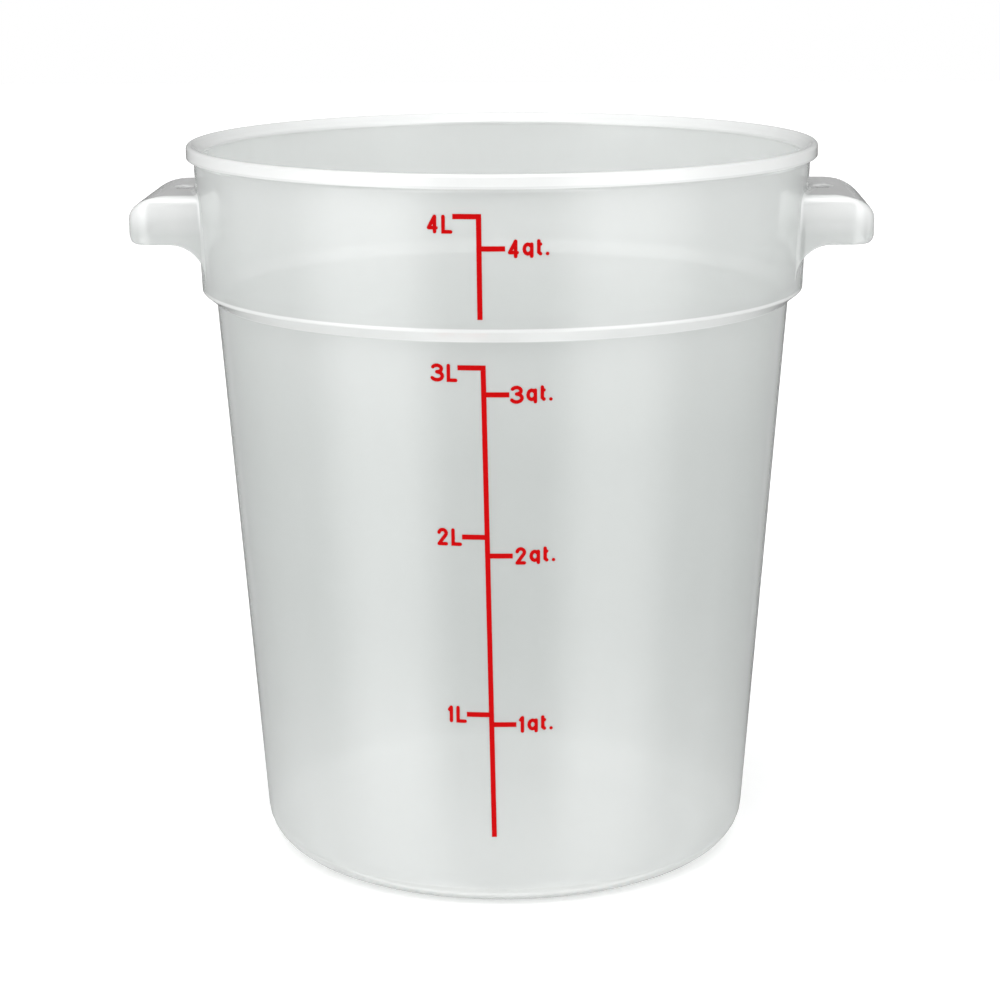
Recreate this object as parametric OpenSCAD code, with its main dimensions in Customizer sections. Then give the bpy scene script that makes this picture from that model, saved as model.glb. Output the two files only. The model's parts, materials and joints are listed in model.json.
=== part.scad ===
// Round translucent food storage tub of about 4 litres, used for proofing dough.
// One moulding with two hollow handles, and a red printed scale in litres and quarts.
// The scale faces -Y, the handles lie along X, and the tub stands on Z = 0.

/* [Body] */
// Height from the table to the crest of the rim
height = 215.6; // [195:0.1:245]
// Outer radius where the line of the lower wall meets the table
base_radius = 73.3; // [62:0.1:90]
// Growth of the lower wall's outer radius, from the table to the shoulder
body_flare = 12.5; // [8:0.1:18]
// Width of the shoulder's step, seen from above
shoulder_width = 4.2; // [3:0.1:6]
// Height over which the shoulder slopes out
shoulder_rise = 3.3; // [3:0.1:6]
// Round of the shoulder's outer corner
shoulder_edge = 0.8; // [0.6:0.1:2.4]
// Round of the shoulder's inner corner
shoulder_round = 1.8; // [0.6:0.1:2.4]
// Height of the collar, from its foot to the crest of the rim
collar_height = 43.1; // [37:0.1:46]
// Growth of the collar's outer radius, from its foot to the crest of the rim
collar_flare = 1.8; // [1:0.1:3]
// Round where the wall turns into the base
base_corner = 11.7; // [6:0.1:16]

/* [Walls] */
// Thickness of the lower wall at the base
wall_base = 1.6; // [1.2:0.1:2.4]
// Thickness of the lower wall under the shoulder
wall_body_top = 2.5; // [1.6:0.1:3]
// Thickness of the collar
wall_collar = 2.4; // [1.6:0.1:3]
// Thickness of the floor
floor_thickness = 1.6; // [1.2:0.1:3]

/* [Base] */
// Depth of the shallow recess under the floor
recess_depth = 0.4; // [0.2:0.1:1]
// Width of the ring that the tub stands on
foot_ring_width = 4; // [2:0.5:8]
// Diameter of the moulding gate's mark under the floor
gate_diameter = 9; // [6:0.5:14]
// Depth of the moulding gate's mark
gate_depth = 0.2; // [0.1:0.1:0.6]

/* [Rim] */
// Overhang of the rim past the line of the collar
rim_overhang = 2; // [1.8:0.1:4]
// Height of the rim's upright band, from its underside to the crest
rim_height = 4.1; // [3.4:0.1:6]
// Round from the band to the crest
rim_round = 1.1; // [0.5:0.1:1.4]
// Fall of the rim's top face from the crest to its inner edge
rim_fall = 1.4; // [0.6:0.1:2]
// Round of the rim's inner edge
rim_inner_round = 1.2; // [0.6:0.1:1.5]
// Round under the rim, where it grows out of the collar
rim_fillet = 1.6; // [0.6:0.1:1.7]

/* [Handles] */
// Reach of each handle past the rim
handle_reach = 15.5; // [12:0.1:22]
// Width of a handle across its grip
handle_width = 53; // [40:0.5:60]
// Drop from the crest of the rim to the handles' flat tops
handle_drop = 13.8; // [8:0.1:18]
// Height of a handle from its lower edge to its top
handle_depth = 14.3; // [11:0.1:16]
// Thickness of the handles' walls
handle_wall = 2.2; // [1.6:0.1:2.6]
// Round of the tip's two corners, seen from above
handle_corner = 7.5; // [4:0.1:9]
// Height of the oval round from the top into the tip, seen from the front
handle_tip_round = 7.4; // [4:0.1:8]
// Run of that round along the top
handle_tip_run = 12.8; // [8:0.1:14]
// Round at the lower end of the tip
handle_lip_round = 3; // [1:0.1:4]
// Round from the top into the two sides
handle_edge_round = 3; // [2.5:0.1:4]
// Radius of the sweep from the lower edge down to the wall
handle_sweep = 10.5; // [7:0.1:12]
// Diameter of the hanging hole in each handle
hole_diameter = 6; // [4:0.1:8]
// Distance from the rim's outer edge to the middle of each hanging hole, seen from above
hole_offset = 2; // [0:0.1:5]

/* [Scale] */
// Height from the 4 litre mark to the crest of the rim
headroom = 11.5; // [8:0.1:18]
// Thickness of the ink, drawn thicker than a real print
ink = 0.15; // [0.1:0.05:0.3]
// Turn of the scale about the tub's axis, from midway between the handles
scale_turn = 1.8; // [-10:0.1:10]
// Width of the scale's upright lines and of its marks
line_width = 1.42; // [1:0.01:2]
// Reach of each mark from the middle of its line
mark_reach = 7; // [5:0.1:9]
// Place of the upper line's foot to the left of the front
upper_foot_offset = 6.1; // [3:0.1:9]
// Place of the upper line's top to the left of the front
upper_top_offset = 6.3; // [3:0.1:9]
// Place of the lower line's foot to the left of the front
lower_foot_offset = 3.1; // [1:0.1:9]
// Place of the lower line's top to the left of the front
lower_top_offset = 5.4; // [3:0.1:9]
// Clear height between the shoulder and the upper line
upper_line_gap = 3.6; // [1:0.1:8]
// Height of the lower line's foot
lower_line_foot = 23.3; // [15:0.1:40]

/* [Lettering] */
// Height of the digits
digit_height = 5.1; // [4.5:0.1:7]
// Width of the digits 2, 3 and 4 and of the two unit letters L and q
digit_width = 3; // [2.6:0.1:4]
// Width of the digit 1
digit_one_width = 1.5; // [1.3:0.1:2.4]
// Drop of the flag on the digit 1
flag_drop = 0.7; // [0.4:0.1:1.2]
// Height of the waist of the digit 3
waist_height = 2.75; // [2.4:0.05:3.4]
// Height of the bar of the digit 4
bar_height = 1.55; // [1:0.05:2.4]
// Place of the stem of the digit 4, from its left edge
stem_place = 2.1; // [1.6:0.1:2.4]
// Height of the bowl of the letter q and of the letter t's bar
x_height = 3.6; // [3:0.1:4.5]
// Width of the letter t
letter_t_width = 1.45; // [1.2:0.05:2]
// Round at the foot of the letter t
letter_t_bend = 0.45; // [0.3:0.05:0.6]
// Width of the strokes
stroke_width = 1; // [0.6:0.05:1.2]
// Space between two characters
letter_gap = 0.9; // [0.5:0.1:2]
// Space between a quart mark and its label
label_gap = 0.7; // [0.4:0.1:2]
// How far the letters q and t stand above the foot of their digit
unit_raise = 0.65; // [0.3:0.05:1]
// How far the middle of each litre label lies below its mark, from 1 to 4 litres
litre_label_drops = [0.1, 0.1, 1.5, 2.1];

/* [Hidden] */

$fn = 96;
plastic = [0.88, 0.9, 0.89, 0.6];
red_ink = [0.84, 0.02, 0.05];
// Litres in a US quart
quart_share = 0.946353;
// Steps in each rounded corner
corner_steps = 8;
// Steps in each bowl of the lettering
bowl_steps = 10;
// Angles at which a stroke's round end is drawn, from the way that the stroke runs
end_angles = [60, 30, 0, -30, -60];
// Angles between which the bowls of the digits 2 and 3 and of the letter q run
two_bowl = [170, -35];
three_upper_bowl = [150, -90];
three_lower_bowl = [90, -150];
q_bowl = [40, 320];
// How far a cut runs past the surface that it opens
past = 1;

// Outer radii and heights, one from another
body_top_radius = base_radius + body_flare;
collar_foot_radius = body_top_radius + shoulder_width;
collar_top_radius = collar_foot_radius + collar_flare;
rim_radius = collar_top_radius + rim_overhang;
collar_foot = height - collar_height;
shoulder_height = collar_foot - shoulder_rise;

// The lower wall and the collar lean out at these rates, in millimetres per millimetre of height
body_lean = body_flare / shoulder_height;
collar_lean = collar_flare / collar_height;

// Inside of the tub
floor_level = recess_depth + floor_thickness;
inner_base_radius = base_radius - wall_base;
inner_body_top_radius = body_top_radius - wall_body_top;
inner_body_lean = (inner_body_top_radius - inner_base_radius) / shoulder_height;
inner_collar_foot_radius = collar_foot_radius - wall_collar;
inner_floor_radius = inner_base_radius + inner_body_lean * floor_level;
inner_corner = base_corner - floor_level;
shoulder_slope = atan2(shoulder_rise, shoulder_width);
inner_lift = wall_collar * tan((90 - shoulder_slope) / 2);
inner_shoulder = shoulder_height + inner_lift;
inner_collar_foot = collar_foot + inner_lift;
rim_inner_radius = collar_top_radius - wall_collar;
rim_foot = height - rim_height;
rim_inner_height = height - rim_fall;

// Handles
handle_tip = rim_radius + handle_reach;
handle_top = height - handle_drop;
handle_edge = handle_top - handle_depth;
handle_root = inner_collar_foot_radius - handle_width / 2;
handle_foot = handle_edge - handle_sweep;
handle_foot_reach = sqrt(pow(collar_radius(handle_foot), 2) - pow(handle_width / 2, 2));
hole_reach = rim_radius + hole_offset;

// Outer radius of the two straight stretches of wall at a height
function body_radius(z) = base_radius + body_lean * z;
function collar_radius(z) = collar_foot_radius + collar_lean * (z - collar_foot);

// Volume of a cone's slice between two radii, for a wall that leans at a rate
function slice_volume(r0, r1, lean) = PI / (3 * lean) * (pow(r1, 3) - pow(r0, 3));

// Radius that such a wall has reached once a volume stands on radius r0
function filled_radius(r0, lean, volume) = pow(pow(r0, 3) + 3 * lean * volume / PI, 1 / 3);

// What the rounded corner of the floor takes off the lower slice
spandrel = (1 - PI / 4) * pow(inner_corner, 2);
spandrel_inset = 0.223 * inner_corner;
corner_loss = spandrel * 2 * PI * (inner_floor_radius - spandrel_inset);

inner_neck_radius = inner_body_top_radius + inner_body_lean * inner_lift;
inner_shoulder_lean = (inner_collar_foot_radius - inner_neck_radius) / shoulder_rise;
volume_to_shoulder = slice_volume(inner_floor_radius, inner_neck_radius, inner_body_lean) - corner_loss;
volume_to_collar = volume_to_shoulder
    + slice_volume(inner_neck_radius, inner_collar_foot_radius, inner_shoulder_lean);
inner_collar_lean = (rim_inner_radius - inner_collar_foot_radius) / (height - inner_collar_foot);

// The space below the 4 litre mark is shared out in four, which gives true litres at this size
full_mark = height - headroom;
full_radius = inner_collar_foot_radius + inner_collar_lean * (full_mark - inner_collar_foot);
full_volume = volume_to_collar + slice_volume(inner_collar_foot_radius, full_radius, inner_collar_lean);
litre = full_volume / 4;
quart = quart_share * litre;

// Height of the surface of a volume of water in the tub
function fill_height(volume) =
    volume < volume_to_shoulder
    ? (filled_radius(inner_floor_radius, inner_body_lean, volume + corner_loss) - inner_base_radius)
        / inner_body_lean
    : inner_collar_foot
        + (filled_radius(inner_collar_foot_radius, inner_collar_lean, volume - volume_to_collar)
            - inner_collar_foot_radius) / inner_collar_lean;

// Ends of the two printed lines
upper_line_foot = collar_foot + upper_line_gap;
upper_line_top = fill_height(4 * litre) + line_width / 2;
lower_line_top = fill_height(3 * litre) + line_width / 2;

// Sideways place of the printed lines' middle at a height
function between(z, z0, z1, a, b) = a + (b - a) * (z - z0) / (z1 - z0);
function line_place(z) =
    z > shoulder_height
    ? -between(z, upper_line_foot, upper_line_top, upper_foot_offset, upper_top_offset)
    : -between(z, lower_line_foot, lower_line_top, lower_foot_offset, lower_top_offset);

// Outlines are lists of corners, each [x, y, radius]. These functions round the corners.
function unit(v) = v / norm(v);
function turned(v, angle) = [
    v.x * cos(angle) - v.y * sin(angle),
    v.x * sin(angle) + v.y * cos(angle)
];
function flat(p) = [p.x, p.y];
function corner_arc(before, corner, after) =
    let (
        u = unit(flat(before) - flat(corner)),
        v = unit(flat(after) - flat(corner)),
        half = acos(u * v) / 2,
        side = u.x * v.y - u.y * v.x > 0 ? -1 : 1,
        centre = flat(corner) + unit(u + v) * corner[2] / sin(half),
        spoke = flat(corner) + u * corner[2] / tan(half) - centre
    )
    [for (i = [0:corner_steps]) centre + turned(spoke, side * (180 - 2 * half) * i / corner_steps)];
function rounded(corners) = [
    for (i = [0:len(corners) - 1])
    let (n = len(corners), here = corners[i])
    each here[2] > 0
        ? corner_arc(corners[(i + n - 1) % n], here, corners[(i + 1) % n])
        : [flat(here)]
];

// Outside of the tub as a solid of revolution, drawn as half a section
module tub_outside() {
    ring_outer = base_radius - base_corner;
    ring_inner = ring_outer - foot_ring_width;
    outline = rounded([
        [0, recess_depth, 0],
        [ring_inner - recess_depth, recess_depth, 0],
        [ring_inner, 0, 0],
        [base_radius, 0, base_corner],
        [body_top_radius, shoulder_height, 0],
        [collar_foot_radius, collar_foot, shoulder_edge],
        [collar_radius(rim_foot), rim_foot, rim_fillet],
        [rim_radius, rim_foot, 0],
        [rim_radius, height, rim_round],
        [0, height, 0]
    ]);
    rotate_extrude() polygon(outline);
}

// Space inside the tub, up to a little above the rim
module tub_inside() {
    outline = rounded([
        [0, floor_level, 0],
        [inner_floor_radius, floor_level, inner_corner],
        [inner_neck_radius, inner_shoulder, 0],
        [inner_collar_foot_radius, inner_collar_foot, shoulder_round],
        [rim_inner_radius, rim_inner_height, rim_inner_round],
        [rim_radius - rim_round, height, 0],
        [rim_radius - rim_round, height + past, 0],
        [0, height + past, 0]
    ]);
    rotate_extrude() polygon(outline);
}

// One handle on the +X side, inset by a wall: with no inset it is the handle's outside.
// It is the common space of its outline from the front, from above and from its tip.
module handle_form(inset, lower) {
    tip = handle_tip - inset;
    top = handle_top - inset;
    half_width = handle_width / 2 - inset;
    intersection() {
        rotate([90, 0, 0]) linear_extrude(height = handle_width, center = true)
            handle_elevation(tip, top, inset, lower);
        linear_extrude(height = height)
            polygon(rounded([
                [handle_root, -half_width, 0],
                [tip, -half_width, handle_corner - inset],
                [tip, half_width, handle_corner - inset],
                [handle_root, half_width, 0]
            ]));
        rotate([90, 0, 90]) linear_extrude(height = handle_tip + past)
            polygon(rounded([
                [half_width, 0, 0],
                [half_width, top, handle_edge_round - inset],
                [-half_width, top, handle_edge_round - inset],
                [-half_width, 0, 0]
            ]));
    }
}

// The handle from the front: a flat top, a round tip and a sweep down to the wall.
// With a lower end given, it runs straight down to it, as the hollow inside does.
module handle_elevation(tip, top, inset, lower) {
    if (lower > 0)
        polygon(rounded(concat(tip_arc(tip, top, inset), [
            [tip, lower, 0],
            [handle_root, lower, 0],
            [handle_root, top, 0]
        ])));
    else
        polygon(rounded(concat(tip_arc(tip, top, inset), [
            [tip, handle_edge, handle_lip_round],
            [handle_foot_reach, handle_edge, handle_sweep],
            [handle_foot_reach, handle_foot - past, 0],
            [handle_root, handle_foot - past, 0],
            [handle_root, top, 0]
        ])));
}

// The oval round from the flat top down into the tip: a quarter of an ellipse, as sharp corners
function tip_arc(tip, top, inset) = [
    for (i = [0:corner_steps])
    let (angle = 90 * i / corner_steps)
    [
        tip - (handle_tip_run - inset) * (1 - sin(angle)),
        top - (handle_tip_round - inset) * (1 - cos(angle)),
        0
    ]
];

// The hollow handle, open below
module handle() {
    difference() {
        handle_form(0, 0);
        handle_form(handle_wall, handle_foot - 2 * past);
    }
}

module hanging_hole() {
    translate([hole_reach, 0, handle_top - handle_wall - past])
        cylinder(d = hole_diameter, h = handle_wall + 2 * past);
}

module container() {
    color(plastic)
    difference() {
        union() {
            tub_outside();
            handle();
            mirror([1, 0, 0]) handle();
        }
        tub_inside();
        hanging_hole();
        mirror([1, 0, 0]) hanging_hole();
        gate_mark();
    }
}

// Shallow dimple that the moulding gate leaves in the middle of the base
module gate_mark() {
    translate([0, 0, -past]) cylinder(d = gate_diameter, h = past + recess_depth + gate_depth);
}

// Films of ink that follow the lower wall and the collar
module body_film() {
    film(body_radius(0), body_radius(shoulder_height), 0, shoulder_height);
}

module collar_film() {
    film(collar_foot_radius, collar_radius(rim_foot), collar_foot, rim_foot);
}

module film(r0, r1, z0, z1) {
    rotate_extrude() polygon([[r0, z0], [r0 + ink, z0], [r1 + ink, z1], [r1, z1]]);
}

// Prints a flat drawing, in X and Z, on the front of the lower wall or of the collar
module printed(on_collar) {
    color(red_ink)
    intersection() {
        rotate([90, 0, scale_turn]) linear_extrude(height = handle_tip) children();
        if (on_collar)
            collar_film();
        else
            body_film();
    }
}

// An upright line that leans a little, from its foot to its top
module upright_line(foot, top) {
    half = line_width / 2;
    polygon([
        [line_place(foot) - half, foot],
        [line_place(foot) + half, foot],
        [line_place(top) + half, top],
        [line_place(top) - half, top]
    ]);
}

// A litre mark runs to the left of the line, and a quart mark to the right
module litre_mark(count) {
    z = fill_height(count * litre);
    translate([line_place(z) - mark_reach, z - line_width / 2]) square([mark_reach, line_width]);
}

module quart_mark(count) {
    z = fill_height(count * quart);
    translate([line_place(z), z - line_width / 2]) square([mark_reach, line_width]);
}

module scale_line_upper() {
    printed(true) {
        upright_line(upper_line_foot, upper_line_top);
        litre_mark(4);
        quart_mark(4);
    }
}

module scale_line_lower() {
    printed(false) {
        upright_line(lower_line_foot, lower_line_top);
        for (count = [1:3]) {
            litre_mark(count);
            quart_mark(count);
        }
    }
}

// Lettering. Each character is drawn by strokes in a cell whose lower left corner is the origin.
pen = stroke_width / 2;
right = digit_width - pen;
top = digit_height - pen;
middle = digit_width / 2;

function bowl(x, y, rx, ry, angles) = [
    for (i = [0:bowl_steps])
    let (a = angles[0] + (angles[1] - angles[0]) * i / bowl_steps)
    [x + rx * cos(a), y + ry * sin(a)]
];

// Outline of a stroke along a path: one side, a round end, the other side, a round end
function heading(path, i) =
    let (n = len(path) - 1)
    unit((i > 0 ? unit(path[i] - path[i - 1]) : [0, 0]) + (i < n ? unit(path[i + 1] - path[i]) : [0, 0]));
function across(path, i, side) =
    let (
        ahead = heading(path, i),
        leg = i > 0 ? unit(path[i] - path[i - 1]) : unit(path[1] - path[0])
    )
    path[i] + side * turned(ahead, 90) * pen / (ahead * leg);
function round_end(at, ahead) = [
    for (a = end_angles) at + turned(ahead, a) * pen
];
function stroke_outline(path) = let (n = len(path) - 1) [
    for (i = [0:n]) across(path, i, 1),
    each round_end(path[n], heading(path, n)),
    for (i = [n:-1:0]) across(path, i, -1),
    each round_end(path[0], -heading(path, 0))
];
module stroke(path) {
    polygon(stroke_outline(path));
}

function width_of(count) = count == 1 ? digit_one_width : digit_width;

module digit(count) {
    if (count == 1)
        digit_one();
    if (count == 2)
        digit_two();
    if (count == 3)
        digit_three();
    if (count == 4)
        digit_four();
}

module digit_one() {
    stem = digit_one_width - pen;
    stroke([[stem, pen], [stem, top]]);
    stroke([[pen, top - flag_drop], [stem, top]]);
}

module digit_two() {
    radius = middle - pen;
    stroke(concat(
        bowl(middle, top - radius, radius, radius, two_bowl),
        [[pen, pen]]
    ));
    stroke([[pen, pen], [right, pen]]);
}

module digit_three() {
    centre = middle - pen / 2;
    above = (top - waist_height) / 2;
    below = (waist_height - pen) / 2;
    stroke(bowl(centre, waist_height + above, centre, above, three_upper_bowl));
    stroke(bowl(centre, pen + below, middle, below, three_lower_bowl));
}

module digit_four() {
    stroke([[stem_place, top], [stem_place, pen]]);
    stroke([[stem_place, top], [pen, bar_height]]);
    stroke([[pen, bar_height], [right, bar_height]]);
}

module letter_l() {
    stroke([[pen, top], [pen, pen], [right, pen]]);
}

// The letters q and t stand a little above the digit's foot
module letter_q() {
    bowl_middle = unit_raise + x_height / 2;
    stroke(bowl(middle, bowl_middle, middle - pen, x_height / 2 - pen, q_bowl));
    stroke([[right, unit_raise + x_height - pen], [right, pen]]);
}

module letter_t() {
    end = letter_t_width - pen;
    foot = unit_raise + pen;
    bar = unit_raise + x_height - pen;
    stroke([[pen, top], [pen, foot + letter_t_bend], [end, foot]]);
    stroke([[pen, bar], [end, bar]]);
}

module full_stop() {
    translate([pen, unit_raise + pen]) circle(r = pen, $fn = 12);
}

// A litre label ends where its mark begins, and a quart label follows its mark
module litre_label(count) {
    z = fill_height(count * litre);
    letter_place = line_place(z) - mark_reach - digit_width;
    translate([letter_place, z - litre_label_drops[count - 1] - digit_height / 2]) {
        letter_l();
        translate([-letter_gap - width_of(count), 0]) digit(count);
    }
}

module quart_label(count) {
    z = fill_height(count * quart);
    q_place = width_of(count) + letter_gap;
    t_place = q_place + digit_width + letter_gap;
    translate([line_place(z) + mark_reach + label_gap, z - digit_height / 2]) {
        digit(count);
        translate([q_place, 0]) letter_q();
        translate([t_place, 0]) letter_t();
        translate([t_place + letter_t_width + letter_gap, 0]) full_stop();
    }
}

module label_1_litre() { printed(false) litre_label(1); }
module label_2_litre() { printed(false) litre_label(2); }
module label_3_litre() { printed(false) litre_label(3); }
module label_4_litre() { printed(true) litre_label(4); }
module label_1_quart() { printed(false) quart_label(1); }
module label_2_quart() { printed(false) quart_label(2); }
module label_3_quart() { printed(false) quart_label(3); }
module label_4_quart() { printed(true) quart_label(4); }

container();
scale_line_upper();
scale_line_lower();
label_1_litre();
label_2_litre();
label_3_litre();
label_4_litre();
label_1_quart();
label_2_quart();
label_3_quart();
label_4_quart();
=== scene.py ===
"""Builds and dresses the food storage tub: milky moulding, red printed scale, studio and camera."""

import json
import logging
import math
from dataclasses import dataclass
from typing import Any

import bpy
import numpy as np
from mathutils import Matrix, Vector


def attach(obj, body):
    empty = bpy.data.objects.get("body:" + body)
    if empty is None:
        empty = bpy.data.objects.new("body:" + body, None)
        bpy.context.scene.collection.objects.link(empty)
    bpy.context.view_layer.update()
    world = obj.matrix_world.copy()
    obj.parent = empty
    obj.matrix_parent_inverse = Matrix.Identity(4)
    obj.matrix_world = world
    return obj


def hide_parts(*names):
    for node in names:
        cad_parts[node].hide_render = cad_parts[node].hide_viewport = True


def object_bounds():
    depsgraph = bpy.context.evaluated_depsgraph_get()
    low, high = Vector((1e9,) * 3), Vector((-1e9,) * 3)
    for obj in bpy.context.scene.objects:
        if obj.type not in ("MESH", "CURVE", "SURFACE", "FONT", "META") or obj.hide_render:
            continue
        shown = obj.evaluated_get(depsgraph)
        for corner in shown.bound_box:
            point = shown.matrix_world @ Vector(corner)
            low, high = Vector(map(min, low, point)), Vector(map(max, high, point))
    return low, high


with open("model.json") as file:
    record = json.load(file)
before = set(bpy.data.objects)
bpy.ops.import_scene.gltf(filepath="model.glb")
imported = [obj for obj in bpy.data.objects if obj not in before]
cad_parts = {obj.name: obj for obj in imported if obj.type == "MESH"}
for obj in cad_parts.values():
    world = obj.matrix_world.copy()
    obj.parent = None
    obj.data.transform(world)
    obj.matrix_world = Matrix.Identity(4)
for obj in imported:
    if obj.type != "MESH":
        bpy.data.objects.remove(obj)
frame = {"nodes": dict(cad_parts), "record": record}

LOG = logging.getLogger("tub")
CAD_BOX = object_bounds()
Colour = tuple[float, float, float]


def unit(vectors: np.ndarray) -> np.ndarray:
    """Scales each row to length 1."""
    return vectors / np.linalg.norm(vectors, axis=-1, keepdims=True)


def smooth(value: np.ndarray) -> np.ndarray:
    """Eases from 0 to 1: three times the square less twice the cube, level at both ends."""
    held = np.clip(value, 0.0, 1.0)
    return held * held * (3.0 - 2.0 * held)


def rounded(corners: list[tuple[float, float, float]], steps: int = 8) -> np.ndarray:
    """Rounds the corners of an open outline.

    An arc that touches both sides of a corner starts radius / tan(half) from it, where half is
    half the angle between the sides, and turns through 180 degrees less that whole angle.

    Args:
        corners: Each corner as x, y and the radius of its round.
        steps: Steps in each arc.

    Returns:
        The outline's points, without repeats.
    """
    table = np.array(corners, dtype=float)
    here, radius = table[1:-1, :2], table[1:-1, 2:]
    back, ahead = unit(table[:-2, :2] - here), unit(table[2:, :2] - here)
    half = np.arccos((back * ahead).sum(axis=1, keepdims=True)) / 2
    centre = here + unit(back + ahead) * radius / np.sin(half)
    spoke = here + back * radius / np.tan(half) - centre
    side = -np.sign(back[:, :1] * ahead[:, 1:] - back[:, 1:] * ahead[:, :1])
    turn = side * (math.pi - 2 * half) * np.linspace(0.0, 1.0, steps + 1)
    cos, sin = np.cos(turn), np.sin(turn)
    x = centre[:, :1] + spoke[:, :1] * cos - spoke[:, 1:] * sin
    y = centre[:, 1:] + spoke[:, :1] * sin + spoke[:, 1:] * cos
    arcs = np.stack([x, y], axis=2).reshape(-1, 2)
    points = np.vstack([table[:1, :2], arcs, table[-1:, :2]])
    fresh = np.linalg.norm(np.diff(points, axis=0), axis=1) > 1e-7
    return points[np.concatenate([[True], fresh])]


def divided(points: np.ndarray, longest: np.ndarray) -> np.ndarray:
    """Divides each stretch of an outline evenly, so that no part of it is longer than asked."""
    counts = np.ceil(np.linalg.norm(np.diff(points, axis=0), axis=1) / longest).astype(int)
    parts = [np.linspace(a, b, n, endpoint=False) for a, b, n in zip(points, points[1:], counts)]
    return np.vstack([*parts, points[-1:]])


def grid_quads(rows: int, columns: int, closed_rows: bool) -> np.ndarray:
    """Faces of a grid of points, whose columns always run round.

    Args:
        rows: Rows of points.
        columns: Points in each row.
        closed_rows: Whether the last row meets the first.

    Returns:
        Four point numbers for each face.
    """
    row = np.arange(rows if closed_rows else rows - 1)[:, None]
    column = np.arange(columns)[None, :]
    above, right = (row + 1) % rows, (column + 1) % columns
    corners = [row * columns + column, row * columns + right, above * columns + right, above * columns + column]
    return np.stack(np.broadcast_arrays(*corners), axis=-1).reshape(-1, 4)


@dataclass
class Skin:
    """A closed surface: points in metres, and faces that point outwards."""

    points: np.ndarray
    faces: list[list[int]]

    def shape(self, name: str) -> bpy.types.Object:
        """Makes an object of the surface.

        Args:
            name: The object's name.

        Returns:
            The object, which isn't linked to the scene yet.
        """
        mesh = bpy.data.meshes.new(name)
        mesh.from_pydata(self.points.tolist(), [], self.faces)
        mesh.validate()
        return bpy.data.objects.new(name, mesh)

    def turned_half(self) -> "Skin":
        """The same surface turned by half a turn about the tub's axis."""
        return Skin(self.points * (-1.0, -1.0, 1.0), self.faces)


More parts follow.
